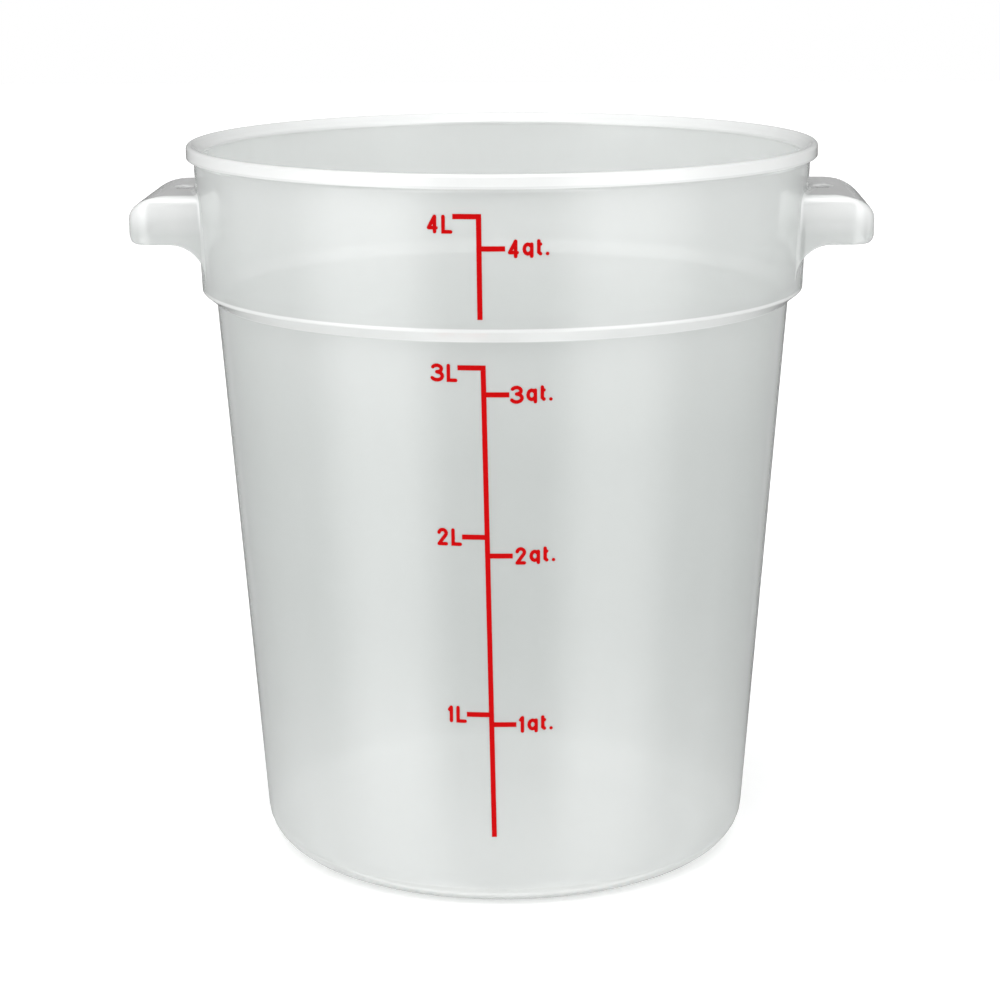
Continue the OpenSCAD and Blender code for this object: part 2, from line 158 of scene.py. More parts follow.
@dataclass
class Vessel:
    """The round body: floor, lower wall, shoulder, collar and rim, as one turned profile.

    The overall sizes come from the frame, and the rest is named here in metres.
    """

    height: float = CAD_BOX[1][2]
    band_radius: float = CAD_BOX[1][1]
    rim_radius: float = frame["record"]["mounts"][1]["dims"]["r_mm"] / 1000
    rim_overhang: float = 0.0020
    rim_height: float = 0.0041
    rim_round: float = 0.0011
    rim_lip_round: float = 0.0005
    rim_crest_round: float = 0.0010
    rim_fall: float = 0.0027
    rim_inner_round: float = 0.0012
    rim_fillet: float = 0.0015
    collar_height: float = 0.0431
    collar_flare: float = 0.0018
    collar_wall: float = 0.0024
    shoulder_width: float = 0.0042
    shoulder_rise: float = 0.0033
    shoulder_edge: float = 0.0008
    shoulder_round: float = 0.0018
    shoulder_hollow: float = 0.0010
    body_flare: float = 0.0125
    body_top_wall: float = 0.0025
    base_wall: float = 0.0016
    base_corner: float = 0.0117
    floor: float = 0.0016
    recess: float = 0.0004
    foot_ring: float = 0.0040
    foot_round: float = 0.0002
    gate_radius: float = 0.0045
    gate_depth: float = 0.0002
    segments: int = 256
    fine: float = 0.0025
    coarse: float = 0.0080

    @property
    def collar_top_radius(self) -> float:
        """Outer radius of the collar's line at the crest."""
        return self.rim_radius - self.rim_overhang

    @property
    def collar_foot_radius(self) -> float:
        """Outer radius at the collar's foot."""
        return self.collar_top_radius - self.collar_flare

    @property
    def collar_foot(self) -> float:
        """Height of the collar's foot."""
        return self.height - self.collar_height

    @property
    def shoulder_height(self) -> float:
        """Height where the lower wall meets the shoulder."""
        return self.collar_foot - self.shoulder_rise

    def collar_radius(self, z: Any) -> Any:
        """Outer radius of the collar at a height: it grows evenly from foot to crest."""
        return self.collar_foot_radius + self.collar_flare * (z - self.collar_foot) / self.collar_height

    def profile(self) -> np.ndarray:
        """Half a section, from the middle of the base, up the outside and down the inside.

        Returns:
            Radius and height of each point.
        """
        shoulder = self.shoulder_height
        body_top = self.collar_foot_radius - self.shoulder_width
        base = body_top - self.body_flare
        ring = base - self.base_corner - self.foot_ring
        rim_foot = self.height - self.rim_height
        slope = math.atan2(self.shoulder_rise, self.shoulder_width)
        lift = self.collar_wall * math.tan((math.pi / 2 - slope) / 2)
        inner_base = base - self.base_wall
        inner_top = body_top - self.body_top_wall
        lean = (inner_top - inner_base) / shoulder
        level = self.recess + self.floor
        dimple = self.recess + self.gate_depth
        corners = [
            (0.0, dimple, 0.0),
            (self.gate_radius, dimple, self.foot_round / 2),
            (self.gate_radius, self.recess, self.foot_round / 2),
            (ring - self.recess, self.recess, self.foot_round),
            (ring, 0.0, self.foot_round),
            (base, 0.0, self.base_corner),
            (body_top, shoulder, self.shoulder_hollow),
            (self.collar_foot_radius, self.collar_foot, self.shoulder_edge),
            (self.collar_radius(rim_foot), rim_foot, self.rim_fillet),
            (self.band_radius, rim_foot, self.rim_lip_round),
            (self.band_radius, self.height, self.rim_round),
            (self.band_radius - self.rim_round - self.rim_crest_round * 0.45, self.height, self.rim_crest_round),
            (self.collar_top_radius - self.collar_wall, self.height - self.rim_fall, self.rim_inner_round),
            (self.collar_foot_radius - self.collar_wall, self.collar_foot + lift, self.shoulder_round),
            (inner_top + lean * lift, shoulder + lift, self.shoulder_hollow),
            (inner_base + lean * level, level, self.base_corner - level),
            (0.0, level, 0.0),
        ]
        points = rounded(corners)
        above = np.minimum(points[:-1, 1], points[1:, 1]) > self.collar_foot
        return divided(points, np.where(above, self.fine, self.coarse))

    def skin(self) -> Skin:
        """Turns the profile about Z: each point goes round a circle of its own radius and height.

        Returns:
            The closed surface, with one point at each pole.
        """
        profile = self.profile()
        ring = profile[1:-1]
        angle = np.linspace(0.0, 2 * math.pi, self.segments, endpoint=False)[None, :]
        radius, z = ring[:, :1], ring[:, 1:]
        grid = np.stack([radius * np.cos(angle), radius * np.sin(angle), z + 0 * angle], axis=2)
        poles = [[0.0, 0.0, profile[0, 1]], [0.0, 0.0, profile[-1, 1]]]
        points = np.vstack([grid.reshape(-1, 3), poles])
        here = np.arange(self.segments)
        after = (here + 1) % self.segments
        last = (len(ring) - 1) * self.segments
        low, high = np.full_like(here, len(points) - 2), np.full_like(here, len(points) - 1)
        caps = np.vstack([
            np.stack([low, after, here], axis=1),
            np.stack([high, last + here, last + after], axis=1),
        ])
        quads = grid_quads(len(ring), self.segments, closed_rows=False)
        return Skin(points, quads.tolist() + caps.tolist())


@dataclass
class Handle:
    """One hollow handle on the +X side, as a closed section carried round a loop.

    Seen from above, the loop runs out along the front side, round the tip, back along the rear
    side and home inside the tub's wall. At each place on it the section runs up the outside, over
    the rounded edge, in across the top to the hanging hole, down the hole, out under the top, down
    the inside and round the lip. A fillet lifts the outer skin where it nears the wall.
    """

    vessel: Vessel
    tip: float = CAD_BOX[1][0]
    width: float = 0.053
    drop: float = 0.0138
    depth: float = 0.0143
    wall: float = 0.0022
    corner: float = 0.0075
    side_edge: float = 0.0030
    tip_edge: float = 0.0074
    tip_cut: float = 0.0128
    inner_edge: float = 0.0008
    side_lip: float = 0.0008
    tip_lip: float = 0.0030
    inner_lip: float = 0.0006
    sweep: float = 0.0105
    fillet: float = 0.0013
    clear: float = 0.00003
    hole_radius: float = 0.0030
    hole_edge: float = 0.0003
    hole_offset: float = 0.0020
    hole_margin: float = 0.0007
    root_depth: float = 0.0025
    back_depth: float = 0.0003
    near_share: float = 0.25
    near_steps: int = 26
    side_steps: int = 12
    corner_steps: int = 10
    tip_steps: int = 14
    wall_steps: int = 46

    @property
    def top(self) -> float:
        """Height of the flat top."""
        return self.vessel.height - self.drop

    @property
    def edge(self) -> float:
        """Height of the level lower edge."""
        return self.top - self.depth

    @property
    def foot(self) -> float:
        """Height where the swept lower edge meets the wall."""
        return self.edge - self.sweep

    @property
    def root(self) -> float:
        """Radius inside the wall's thickness, where the handle's solid begins."""
        return self.vessel.collar_top_radius - self.root_depth

    @property
    def hole_x(self) -> float:
        """Distance of the hanging hole from the tub's axis."""
        return self.vessel.rim_radius + self.hole_offset

    def oval(self, x: np.ndarray, inset: float = 0.0) -> np.ndarray:
        """Height of the top: level, then down over the tip by a quarter of an ellipse.

        Args:
            x: Distance from the tub's axis along X.
            inset: How far the surface lies within the outer one.

        Returns:
            The height.
        """
        run = np.clip((x - (self.tip - self.tip_cut)) / (self.tip_cut - inset), 0.0, 1.0)
        return self.top - inset - (self.tip_edge - inset) * (1.0 - np.sqrt(1.0 - run ** 2))

    def tip_turn(self, inset: float = 0.0) -> float:
        """Angle that the tip's quarter ellipse turns through before it comes near the hanging hole.

        Args:
            inset: How far the surface lies within the outer one.

        Returns:
            The angle, at most a quarter turn.
        """
        stop = self.hole_x + self.hole_radius + self.hole_edge + self.hole_margin
        return math.acos(max(stop - (self.tip - self.tip_cut), 0.0) / (self.tip_cut - inset))

    def plan(self, radius: np.ndarray, near: np.ndarray, far: np.ndarray) -> np.ndarray:
        """The loop seen from above: two straight sides, two round corners, the tip and the wall.

        An inset shifts the whole loop inwards. A corner is a quarter of an ellipse, whose half
        axes are the corner's radius less the insets of tip and side, and what the tip's inset has
        over the corner's radius moves the corner itself.

        Args:
            radius: Radius of the stretch along the wall, one for each row.
            near: Inset at the sides, one for each row.
            far: Inset at the tip, one for each row.

        Returns:
            X and Y, as rows by places by 2.
        """
        half = self.width / 2 - near
        start = np.sqrt(radius ** 2 - half ** 2)
        close = np.linspace(0.0, self.near_share, self.near_steps, endpoint=False)
        away = np.linspace(self.near_share, 1.0, self.side_steps, endpoint=False)
        share = np.concatenate([close, away])[None, :]
        turn = np.linspace(0.0, math.pi / 2, self.corner_steps, endpoint=False)[None, :]
        held = np.minimum(far, self.corner - 0.0004)
        across = np.linspace(-1.0, 1.0, self.tip_steps + 1)[None, :] * (self.width / 2 - self.corner)
        sweep = np.arcsin(half / radius) * np.linspace(1.0, -1.0, self.wall_steps + 2)[None, 1:-1]
        straight = self.tip - self.corner - (far - held)
        side_x, side_y = start + share * (straight - start), -half + 0 * share
        corner_x = straight + (self.corner - held) * np.sin(turn)
        corner_y = across[:, :1] - (self.corner - near) * np.cos(turn)
        tip_x, tip_y = self.tip - far + 0 * across, across + 0 * far
        back_x = np.hstack([side_x, corner_x])[:, ::-1]
        back_y = -np.hstack([side_y, corner_y])[:, ::-1]
        x = np.hstack([side_x, corner_x, tip_x, back_x, radius * np.cos(sweep)])
        y = np.hstack([side_y, corner_y, tip_y, back_y, radius * np.sin(sweep)])
        return np.stack([x, y], axis=2)

    def tip_share(self) -> np.ndarray:
        """How much of the tip's rounding each place on the loop has, eased round the corners."""
        side = np.zeros(self.near_steps + self.side_steps)
        turn = smooth(np.linspace(0.0, 1.0, self.corner_steps, endpoint=False))
        half = np.concatenate([side, turn])
        return np.concatenate([half, np.ones(self.tip_steps + 1), half[::-1], np.zeros(self.wall_steps)])

    def lower_edge(self, x: np.ndarray) -> np.ndarray:
        """Height of the lower edge: level outside, and a quarter circle down to the wall."""
        start = math.sqrt(self.vessel.collar_radius(self.foot) ** 2 - (self.width / 2) ** 2)
        run = np.clip(start + self.sweep - x, 0.0, self.sweep)
        return self.foot + np.sqrt(self.sweep ** 2 - run ** 2)

    def outside(self) -> tuple[np.ndarray, np.ndarray]:
        """The outer skin from the lip over the rounded edge to the flat top, with no fillet yet.

        Returns:
            The points, and the angle of each row's normal above the level.
        """
        near_lip, far_lip = self.side_lip, min(self.tip_lip, self.wall - self.inner_lip)
        lip = np.linspace(math.pi / 2, 0.0, 6, endpoint=False)[:, None]
        arc = np.linspace(0.0, math.pi / 2, 9)[:, None]
        rise = np.linspace(0.0, 1.0, 9, endpoint=False)[:, None]
        over = np.linspace(0.0, self.tip_turn(), 9)[:, None]
        near = np.vstack([near_lip * (1 - np.cos(lip)), 0 * rise, self.side_edge * (1 - np.cos(arc))])
        far = np.vstack([far_lip * (1 - np.cos(lip)), 0 * rise, self.tip_cut * (1 - np.cos(over))])
        flat = self.plan(np.full_like(near, self.root), near, far)
        share = self.tip_share()[None, :]
        low = self.lower_edge(flat[:, :, 0])
        lip_height = near_lip + (self.tip_lip - near_lip) * share
        n, m = len(lip), len(lip) + len(rise)
        z_lip = low[:n] + lip_height * (1 - np.sin(lip))
        drop = self.side_edge * (1 - np.sin(arc)) * (1 - share) + self.tip_edge * (1 - np.sin(over)) * share
        z_edge = np.minimum(self.top - drop, self.oval(flat[m:, :, 0]))
        foot = low[n:m] + lip_height
        z_side = foot + rise * (z_edge[:1] - foot)
        lean = np.vstack([0 * lip, 0 * rise, arc])
        return np.dstack([flat, np.vstack([z_lip, z_side, z_edge])]), lean

    def filleted(self, points: np.ndarray, lean: np.ndarray) -> np.ndarray:
        """Lifts the skin near the wall into a fillet.

        With a the angle between the normals of skin and wall, the fillet begins at radius times
        tan(a / 2) from the wall. Past that place the lift is radius less the root of radius
        squared less distance squared, up to where it runs along the wall, and then it turns
        straight into the wall.

        Args:
            points: Rows by places by 3.
            lean: Angle of the skin's normal above the level, one for each row.

        Returns:
            The lifted points.
        """
        around = self.side_signs()[None, :]
        up = np.sin(lean) + 0 * around
        normal = np.dstack([0 * up, around * np.cos(lean), up])
        radius = np.linalg.norm(points[:, :, :2], axis=2)
        slope = self.vessel.collar_flare / self.vessel.collar_height
        wall = np.dstack([points[:, :, 0] / radius, points[:, :, 1] / radius, np.full_like(radius, -slope)])
        meet = np.arccos(np.clip((unit(wall) * normal).sum(axis=2), -0.2, 0.98))
        reach = self.fillet * np.tan(meet / 2)
        gap = radius - self.vessel.collar_radius(points[:, :, 2]) - self.clear
        past = np.maximum(reach - gap / np.sin(meet), 0.0)
        turn = np.minimum(meet, math.radians(86.0))
        end = self.fillet * np.sin(turn)
        held = np.minimum(past, end)
        lift = self.fillet - np.sqrt(self.fillet ** 2 - held ** 2) - (past - held) / np.tan(meet)
        return points + normal * lift[:, :, None]

    def side_signs(self) -> np.ndarray:
        """Which way each place's side faces along Y: -1 front, 1 rear, 0 along the wall and tip."""
        side = np.ones(self.near_steps + self.side_steps)
        free = np.zeros(2 * self.corner_steps + self.tip_steps + 1)
        return np.concatenate([-side, free, side, np.zeros(self.wall_steps)])

    def circle(self, outline: np.ndarray, radius: float) -> np.ndarray:
        """Points of the hole's circle, each in line with the hole's middle and a point of an outline."""
        away = unit(outline - (self.hole_x, 0.0))
        return away * radius + (self.hole_x, 0.0)

    def across_top(self, outer: np.ndarray) -> np.ndarray:
        """The top, from its outer edge to the hole, in rings that are close near the wall.

        Each ring lies on the top's own height, and what the outer edge lies below that fades
        away with the square of the share of the way that is left.

        Args:
            outer: The last row of the outer skin, without its fillet.

        Returns:
            The rings, lifted into the fillet where they near the wall.
        """
        edge = outer[:, :2]
        hole = self.circle(edge, self.hole_radius + self.hole_edge)
        count = np.arange(1, 15)[:, None]
        near = np.minimum(count * 0.00025 / np.linalg.norm(hole - edge, axis=1), count / 19)
        far = near[-1:] + np.linspace(0.0, 1.0, 5)[1:, None] * (1.0 - near[-1:])
        share = np.vstack([near, far])
        flat = edge + share[:, :, None] * (hole - edge)
        sunk = (self.oval(edge[:, 0]) - outer[:, 2]) * (1.0 - share) ** 2
        points = np.dstack([flat, self.oval(flat[:, :, 0]) - sunk])
        return self.filleted(points, np.full((len(points), 1), math.pi / 2))

    def hole(self, outer: np.ndarray) -> np.ndarray:
        """The hole's wall with a small round at both ends: a quarter circle, the bore, and another."""
        arc = np.linspace(0.0, math.pi / 2, 4)
        edge = self.hole_edge
        radius = np.concatenate([
            self.hole_radius + edge * (1 - np.sin(arc[1:])), self.hole_radius + edge * (1 - np.sin(arc[::-1]))])
        z = np.concatenate([
            self.top - edge * (1 - np.cos(arc[1:])), self.top - self.wall + edge * (1 - np.cos(arc[::-1]))])
        away = unit(outer[:, :2] - (self.hole_x, 0.0))[None, :, :]
        flat = away * radius[:, None, None] + (self.hole_x, 0.0)
        rim = self.circle(outer[:, :2], self.hole_radius + edge)
        sunk = (self.top - self.oval(rim[:, 0])) * (np.arange(len(z)) < 3)[:, None]
        return np.dstack([flat, z[:, None] - sunk])

    def inside(self) -> np.ndarray:
        """The inner skin: out under the top, down the inner side and round the inner lip."""
        roof = self.top - self.wall
        arc = np.linspace(math.pi / 2, 0.0, 9)[:, None]
        over = np.linspace(self.tip_turn(self.wall), 0.0, 9)[:, None]
        fall = np.linspace(0.0, 1.0, 10)[1:, None]
        lip = np.linspace(0.0, math.pi / 2, 4)[1:, None]
        below = [self.wall + 0 * fall, self.wall - self.inner_lip * (1 - np.cos(lip))]
        near = np.vstack([self.wall + self.inner_edge * (1 - np.cos(arc)), *below])
        far = np.vstack([self.wall + (self.tip_cut - self.wall) * (1 - np.cos(over)), *below])
        n, m = len(arc), len(arc) + len(fall)
        bottom = self.foot + self.inner_lip
        level = np.vstack([roof + 0 * arc, roof - fall * (roof - bottom), bottom + 0 * lip])
        radius = self.vessel.collar_radius(level) - self.back_depth
        flat = self.plan(radius, near, far)
        low = self.lower_edge(flat[:, :, 0])
        share = self.tip_share()[None, :]
        side, tip = self.inner_edge * (1 - np.sin(arc)), (self.tip_edge - self.wall) * (1 - np.sin(over))
        z_arc = np.minimum(roof - side * (1 - share) - tip * share, self.oval(flat[:n, :, 0], self.wall))
        start = z_arc[-1:]
        z_side = start + fall * (low[n:m] + self.inner_lip - start)
        z_lip = low[m:] + self.inner_lip * (1 - np.sin(lip))
        return np.dstack([flat, np.vstack([z_arc, z_side, z_lip])])

    def skin(self) -> Skin:
        """Joins the parts of the section into one closed surface.

        Returns:
            The surface. Its end in the wall lies wholly within the wall's thickness.
        """
        outside, lean = self.outside()
        hole = self.hole(outside[-1])
        inside = self.inside()
        share = np.linspace(0.0, 1.0, 5)[1:-1, None, None]
        roof = hole[-1:] + share * (inside[:1] - hole[-1:])
        top = self.across_top(outside[-1])
        grid = np.concatenate([self.filleted(outside, lean), top, hole, roof, inside])
        quads = grid_quads(grid.shape[0], grid.shape[1], closed_rows=True)
        return Skin(grid.reshape(-1, 3), quads.tolist())


class Value:
    """Wraps a shader socket, so that node maths reads as Python expressions."""

    def __init__(self, tree: bpy.types.NodeTree, socket: bpy.types.NodeSocket) -> None:
        """Keeps the tree and the output socket that this value stands for."""
        self.tree = tree
        self.socket = socket

    def _math(self, operation: str, *terms: Any) -> "Value":
        """Adds a Math node.

        Args:
            operation: The node's operation.
            terms: Values or numbers, in the order of its sockets.

        Returns:
            The node's result.
        """
        node = self.tree.nodes.new("ShaderNodeMath")
        node.operation = operation
        for slot, term in zip(node.inputs, terms):
            if isinstance(term, Value):
                self.tree.links.new(term.socket, slot)
            else:
                slot.default_value = term
        return Value(self.tree, node.outputs[0])

    def __add__(self, other: Any) -> "Value":
        """Adds."""
        return self._math("ADD", self, other)

    def __radd__(self, other: Any) -> "Value":
        """Adds from the right."""
        return self._math("ADD", other, self)

    def __sub__(self, other: Any) -> "Value":
        """Subtracts."""
        return self._math("SUBTRACT", self, other)

    def __rsub__(self, other: Any) -> "Value":
        """Subtracts this value from another."""
        return self._math("SUBTRACT", other, self)

    def __mul__(self, other: Any) -> "Value":
        """Multiplies."""
        return self._math("MULTIPLY", self, other)

    def __rmul__(self, other: Any) -> "Value":
        """Multiplies from the right."""
        return self._math("MULTIPLY", other, self)

    def __neg__(self) -> "Value":
        """Changes the sign."""
        return self._math("MULTIPLY", self, -1.0)

    def __abs__(self) -> "Value":
        """Drops the sign."""
        return self._math("ABSOLUTE", self)

    def root(self) -> "Value":
        """Square root."""
        return self._math("SQRT", self)

    def angle(self, other: Any) -> "Value":
        """Angle whose tangent is this value over another, with its quadrant."""
        return self._math("ARCTAN2", self, other)

    def most(self, other: Any) -> "Value":
        """The greater of two values."""
        return self._math("MAXIMUM", self, other)

    def step(self, start: float, end: float) -> "Value":
        """Eases from 0 at the start to 1 at the end, or back where the start is the greater."""
        node = self.tree.nodes.new("ShaderNodeMapRange")
        node.interpolation_type = "SMOOTHSTEP"
        self.tree.links.new(self.socket, node.inputs["Value"])
        node.inputs["From Min"].default_value = start
        node.inputs["From Max"].default_value = end
        return Value(self.tree, node.outputs[0])

    def towards(self, other: Any, share: "Value") -> "Value":
        """This value, moved by a share of the way to another."""
        return self * (1.0 - share) + other * share


class Shader:
    """One material's node tree, emptied and ready to build."""

    def __init__(self, name: str) -> None:
        """Makes a material of this name with an empty tree."""
        self.material = bpy.data.materials.new(name)
        self.material.use_nodes = True
        self.tree = self.material.node_tree
        self.tree.nodes.clear()

    def node(self, kind: str, settings: dict[str, Any] | None = None, **sockets: Any) -> bpy.types.Node:
        """Adds any node.

        Args:
            kind: The node's type.
            settings: Properties of the node, set before its sockets.
            sockets: Input sockets by name, with underscores for spaces, as a Value or a plain value.

        Returns:
            The node.
        """
        made = self.tree.nodes.new(kind)
        for name, setting in (settings or {}).items():
            setattr(made, name, setting)
        for name, value in sockets.items():
            slot = made.inputs[name.replace("_", " ")]
            if isinstance(value, Value):
                self.tree.links.new(value.socket, slot)
            elif isinstance(value, bpy.types.NodeSocket):
                self.tree.links.new(value, slot)
            else:
                slot.default_value = value
        return made

    def value(self, node: bpy.types.Node, output: str | int = 0) -> Value:
        """Wraps one output of a node."""
        return Value(self.tree, node.outputs[output])

    def place(self) -> tuple[Value, Value, Value]:
        """The piece's own coordinates in metres, as three values."""
        split = self.node("ShaderNodeSeparateXYZ", Vector=self.node("ShaderNodeTexCoord").outputs["Object"])
        return self.value(split, 0), self.value(split, 1), self.value(split, 2)

    def noise(self, scale: float, detail: float, stretch: Colour = (1.0, 1.0, 1.0)) -> Value:
        """Smooth noise on the piece's own coordinates, from 0 to 1.

        Args:
            scale: Cells per metre.
            detail: Octaves.
            stretch: Scale of the pattern along each axis.

        Returns:
            The noise.
        """
        place = self.node("ShaderNodeTexCoord").outputs["Object"]
        mapped = self.node("ShaderNodeMapping", Vector=place, Scale=stretch).outputs[0]
        return self.value(self.node("ShaderNodeTexNoise", Vector=mapped, Scale=scale, Detail=detail))

    def blend(self, factor: Value, low: Any, high: Any) -> bpy.types.NodeSocket:
        """Mixes two colours by a factor.

        Args:
            factor: 0 gives the first colour and 1 the second.
            low: The first colour, or the socket that gives it.
            high: The second colour, or its socket.

        Returns:
            The mixed colour.
        """
        mix = self.tree.nodes.new("ShaderNodeMix")
        mix.data_type = "RGBA"
        self.tree.links.new(factor.socket, mix.inputs[0])
        for slot, colour in zip(mix.inputs[6:8], (low, high)):
            if isinstance(colour, bpy.types.NodeSocket):
                self.tree.links.new(colour, slot)
            else:
                slot.default_value = (*colour, 1.0)
        return mix.outputs[2]

    def bump(self, height: Value, distance: float, strength: float) -> bpy.types.NodeSocket:
        """A bump normal from a height, for depths in metres."""
        made = self.node("ShaderNodeBump", Height=height, Distance=distance, Strength=strength)
        return made.outputs[0]

    def finish(self, surface: bpy.types.NodeSocket) -> bpy.types.Material:
        """Connects the surface to the output and gives the material."""
        self.node("ShaderNodeOutputMaterial", Surface=surface)
        return self.material


@dataclass(frozen=True)
class MilkyPlastic:
    """Natural polypropylene: milky, see-through where thin, whiter where thicker, glossy outside, with painted
    light and shade: a lighter inner skin, darker handle tops, and lighter patches where light would fall.
    """

    pale: Colour = (0.560, 0.581, 0.571)
    deep: Colour = (0.510, 0.533, 0.524)
    # Painted light: the inner skin is lighter than the outer, standing in for light scattered through the wall.
    inside: Colour = (0.82, 0.83, 0.82)
    # White of the thicker plastic, also used for painted light.
    thick_and_painted_light: Colour = (0.93, 0.94, 0.935)
    # Painted shade: the handles' flat tops are a darker grey.
    shaded_plate: Colour = (0.72, 0.72, 0.72)
    solid_outside: float = 0.68
    solid_inside: float = 0.25
    solid_thick: float = 0.90
    roughness: float = 0.30

    # Whiteness from the plastic's thickness, plus painted light.
    def thickness(self, shader: Shader, vessel: Vessel, handle: Handle, outside: Value) -> Value:
        """How white the moulding is, from 0 to 1: whiter where the plastic is thicker, and lighter where light is
        painted in.

        The rim, the shoulder and the handles are the thickest. Painted light makes the handles lighter towards
        their tops, the bores of the hanging holes white as if lit, the foot and the lower wall lighter towards the
        bottom as if lit from the floor, and the wall lighter up to the shoulder and again up the collar.

        Args:
            shader: The material's shader.
            vessel: The tub's sizes.
            handle: The handles' sizes.
            outside: The mask of the outer skin.

        Returns:
            The whiteness, from the plastic's thickness and from painted light.
        """
        x, y, z = shader.place()
        radius = (x * x + y * y).root()
        lean = vessel.collar_flare / vessel.collar_height
        clear = radius - z * lean - (vessel.collar_top_radius - vessel.height * lean)
        rim_foot = vessel.height - vessel.rim_height
        outer = z.step(rim_foot - 0.0006, rim_foot) * clear.step(-0.0012, -0.0006)
        crest = z.step(vessel.height - vessel.rim_fall - 0.0011, vessel.height - vessel.rim_fall - 0.0005)
        slope = math.atan2(vessel.shoulder_rise, vessel.shoulder_width)
        lift = vessel.collar_wall * math.tan((math.pi / 2 - slope) / 2)
        level = z - (1.0 - outside) * lift
        shoulder = level.step(vessel.shoulder_height - 0.0003, vessel.shoulder_height + 0.0002)
        shoulder = shoulder * level.step(vessel.collar_foot + 0.0013, vessel.collar_foot + 0.0007)
        # Painted light: the wall grows lighter up to the shoulder, cancelling the shade under it, and lighter
        # again up the collar.
        collar = z.step(vessel.shoulder_height - 0.040, vessel.shoulder_height) * 0.16
        collar = collar + z.step(vessel.collar_foot, vessel.collar_foot + 0.035) * 0.18
        grip = clear.step(0.00005, 0.00040) * z.step(handle.top + 0.0062, handle.top + 0.0032)
        across = abs(x) - handle.hole_x
        # Painted light: the bore of each hanging hole is white, as if lit, where it would fall into shade.
        hole = (across * across + y * y).root().step(handle.hole_radius + 0.00045, handle.hole_radius + 0.00030)
        hole = hole * z.step(handle.top + 0.0006, handle.top + 0.0002)
        # Painted light: the foot and the lower wall grow lighter towards the bottom, standing in for light bounced
        # up from the floor.
        foot = z.step(0.0160, 0.0030) * 0.35
        low = z.step(0.100, 0.010) * 0.32
        # The handles are whiter where the plastic is thicker, and painted light makes them lighter towards their
        # tops, as if lit from above.
        thick_and_top_light = z.step(handle.edge + 0.001, handle.top - 0.003) * 0.65 + 0.2
        rim = (outer * 0.7).most(crest * 0.85)
        return rim.most(shoulder * 0.75).most(grip * thick_and_top_light).most(hole).most(foot).most(low).most(collar)

    def top_plate(self, shader: Shader, vessel: Vessel, handle: Handle) -> Value:
        """Marks the flat top of a handle, up to its rounded edges.

        Args:
            shader: The material's shader.
            vessel: The tub's sizes.
            handle: The handles' sizes.

        Returns:
            The mask.
        """
        x, y, z = shader.place()
        half = handle.width / 2 - handle.side_edge
        level = z.step(handle.top - 0.0012, handle.top - 0.0009) * z.step(handle.top + 0.0006, handle.top + 0.0002)
        across = abs(y).step(half + 0.0006, half + 0.0001)
        return level * across * (x * x + y * y).root().step(vessel.rim_radius - 0.0016, vessel.rim_radius - 0.0010)

    def outside(self, shader: Shader, vessel: Vessel) -> Value:
        """Tells the outer skin, 1, from the inner one, 0, by the distance from the wall's outer line.

        Args:
            shader: The material's shader.
            vessel: The tub's sizes.

        Returns:
            The mask.
        """
        x, y, z = shader.place()
        base = vessel.collar_foot_radius - vessel.shoulder_width - vessel.body_flare
        body = z * (vessel.body_flare / vessel.shoulder_height) + base
        collar = z * (vessel.collar_flare / vessel.collar_height) + (
            vessel.collar_top_radius - vessel.height * vessel.collar_flare / vessel.collar_height)
        line = body.towards(collar, z.step(vessel.shoulder_height, vessel.collar_foot))
        return ((x * x + y * y).root() - line).step(-0.0012, -0.0006)

    def build(self, vessel: Vessel, handle: Handle) -> bpy.types.Material:
        """Makes the material: soft clouds of tone, faint flow lines and a fine moulded grain.

        Args:
            vessel: The tub's sizes.
            handle: The handles' sizes.

        Returns:
            The material.
        """
        shader = Shader("milky_polypropylene")
        clouds = shader.noise(14.0, 3.0)
        flow = shader.noise(55.0, 2.0, (1.0, 1.0, 0.12))
        grain = shader.noise(900.0, 2.0)
        outside = self.outside(shader, vessel)
        thick_and_painted_light = self.thickness(shader, vessel, handle, outside)
        tone = clouds * 0.7 + flow * 0.3
        z = shader.place()[2]
        # Painted shade: the handles' flat tops take the darker grey and are more solid.
        shaded_plate = self.top_plate(shader, vessel, handle)
        # Painted light: the inner skin takes the lighter inside colour.
        skin = shader.blend(outside, self.inside, shader.blend(tone, self.deep, self.pale))
        mouth = z.step(0.190, 0.200).most(outside) * 0.75 + 0.25
        body = shader.node(
            "ShaderNodeBsdfPrincipled",
            Base_Color=shader.blend(shaded_plate, shader.blend(thick_and_painted_light, skin, self.thick_and_painted_light), self.shaded_plate),
            Roughness=flow * 0.06 + (self.roughness - 0.03),
            IOR=1.49,
            Coat_Weight=mouth * (1.0 - z.step(0.060, 0.008) * 0.75),
            Coat_Roughness=0.06,
            Coat_IOR=1.8,
            Normal=shader.bump(grain * 0.3 + flow * 0.7, 0.00006, 0.25),
        )
        clear = shader.node("ShaderNodeBsdfTransparent", Color=(0.98, 0.99, 0.985, 1.0))
        collar = z.step(vessel.collar_foot, vessel.collar_foot + 0.004)
        veil = outside * (self.solid_outside - self.solid_inside) + self.solid_inside - collar * 0.10
        density = (veil + tone * 0.06 - 0.03).towards(self.solid_thick, thick_and_painted_light.most(shaded_plate))
        mix = shader.node("ShaderNodeMixShader", Fac=density)
        shader.tree.links.new(clear.outputs[0], mix.inputs[1])
        shader.tree.links.new(body.outputs[0], mix.inputs[2])
        return shader.finish(mix.outputs[0])


